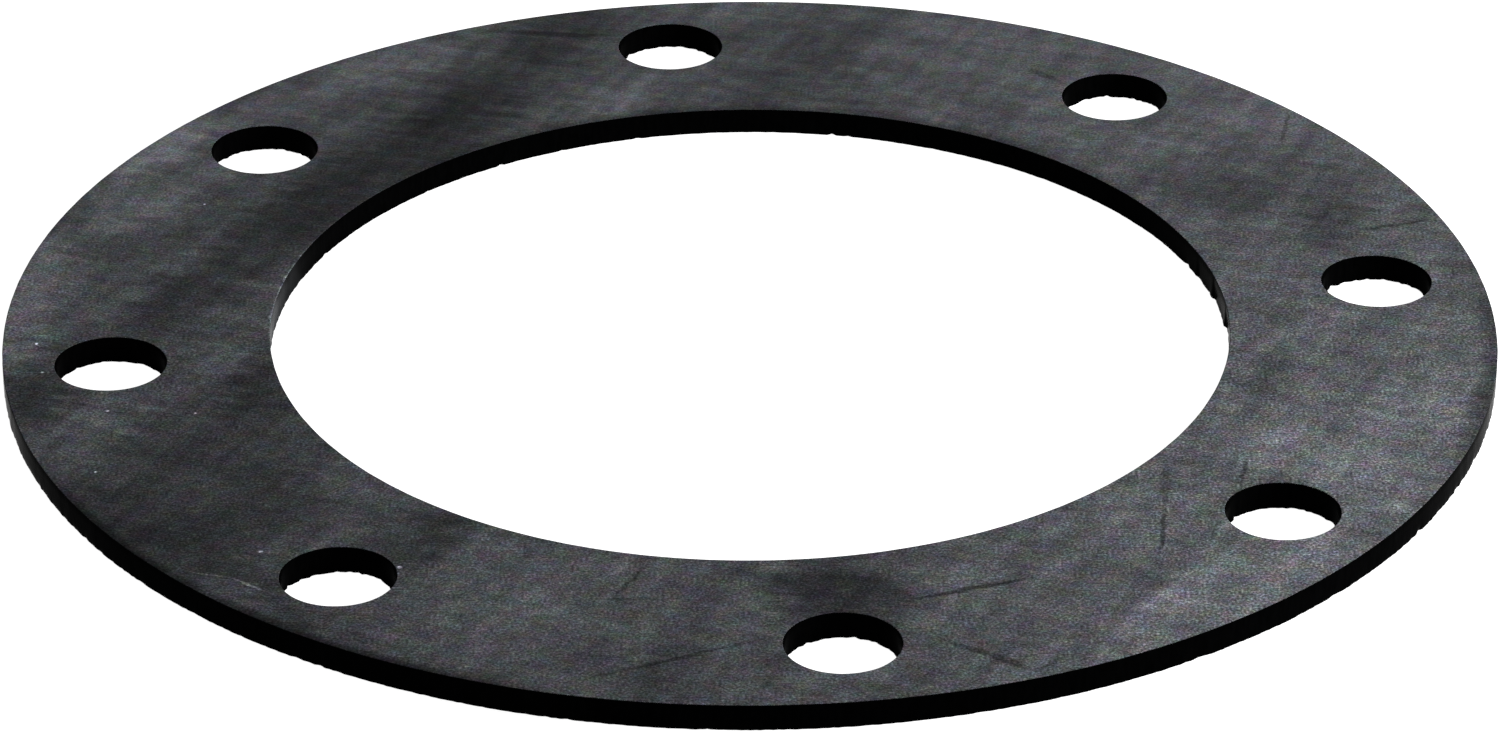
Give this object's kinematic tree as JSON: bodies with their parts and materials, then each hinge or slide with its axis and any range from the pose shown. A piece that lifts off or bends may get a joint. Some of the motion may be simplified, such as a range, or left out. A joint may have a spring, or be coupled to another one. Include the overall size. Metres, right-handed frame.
{
  "type": "handhole gasket",
  "caption": "Flat ring gasket cut from black rubber sheet, with a hand-sized opening and a circle of bolt holes, which seals a bolted handhole cover to its flange.",
  "frame": {"origin": "centre of the ring on its lower face, where it lies on a flange or a table", "axes": "+Z along the ring's axis, up through the thickness of the sheet; +X through the centre of one bolt hole"},
  "size_m": [0.1778, 0.1778, 0.0032],
  "materials": {
    "rubber_sheet": "matte black calendered sheet, scuffed and dusty on the face, with clean black cut edges"
  },
  "bodies": {
    "root": {"gasket": "rubber_sheet"}
  },
  "joints": []
}
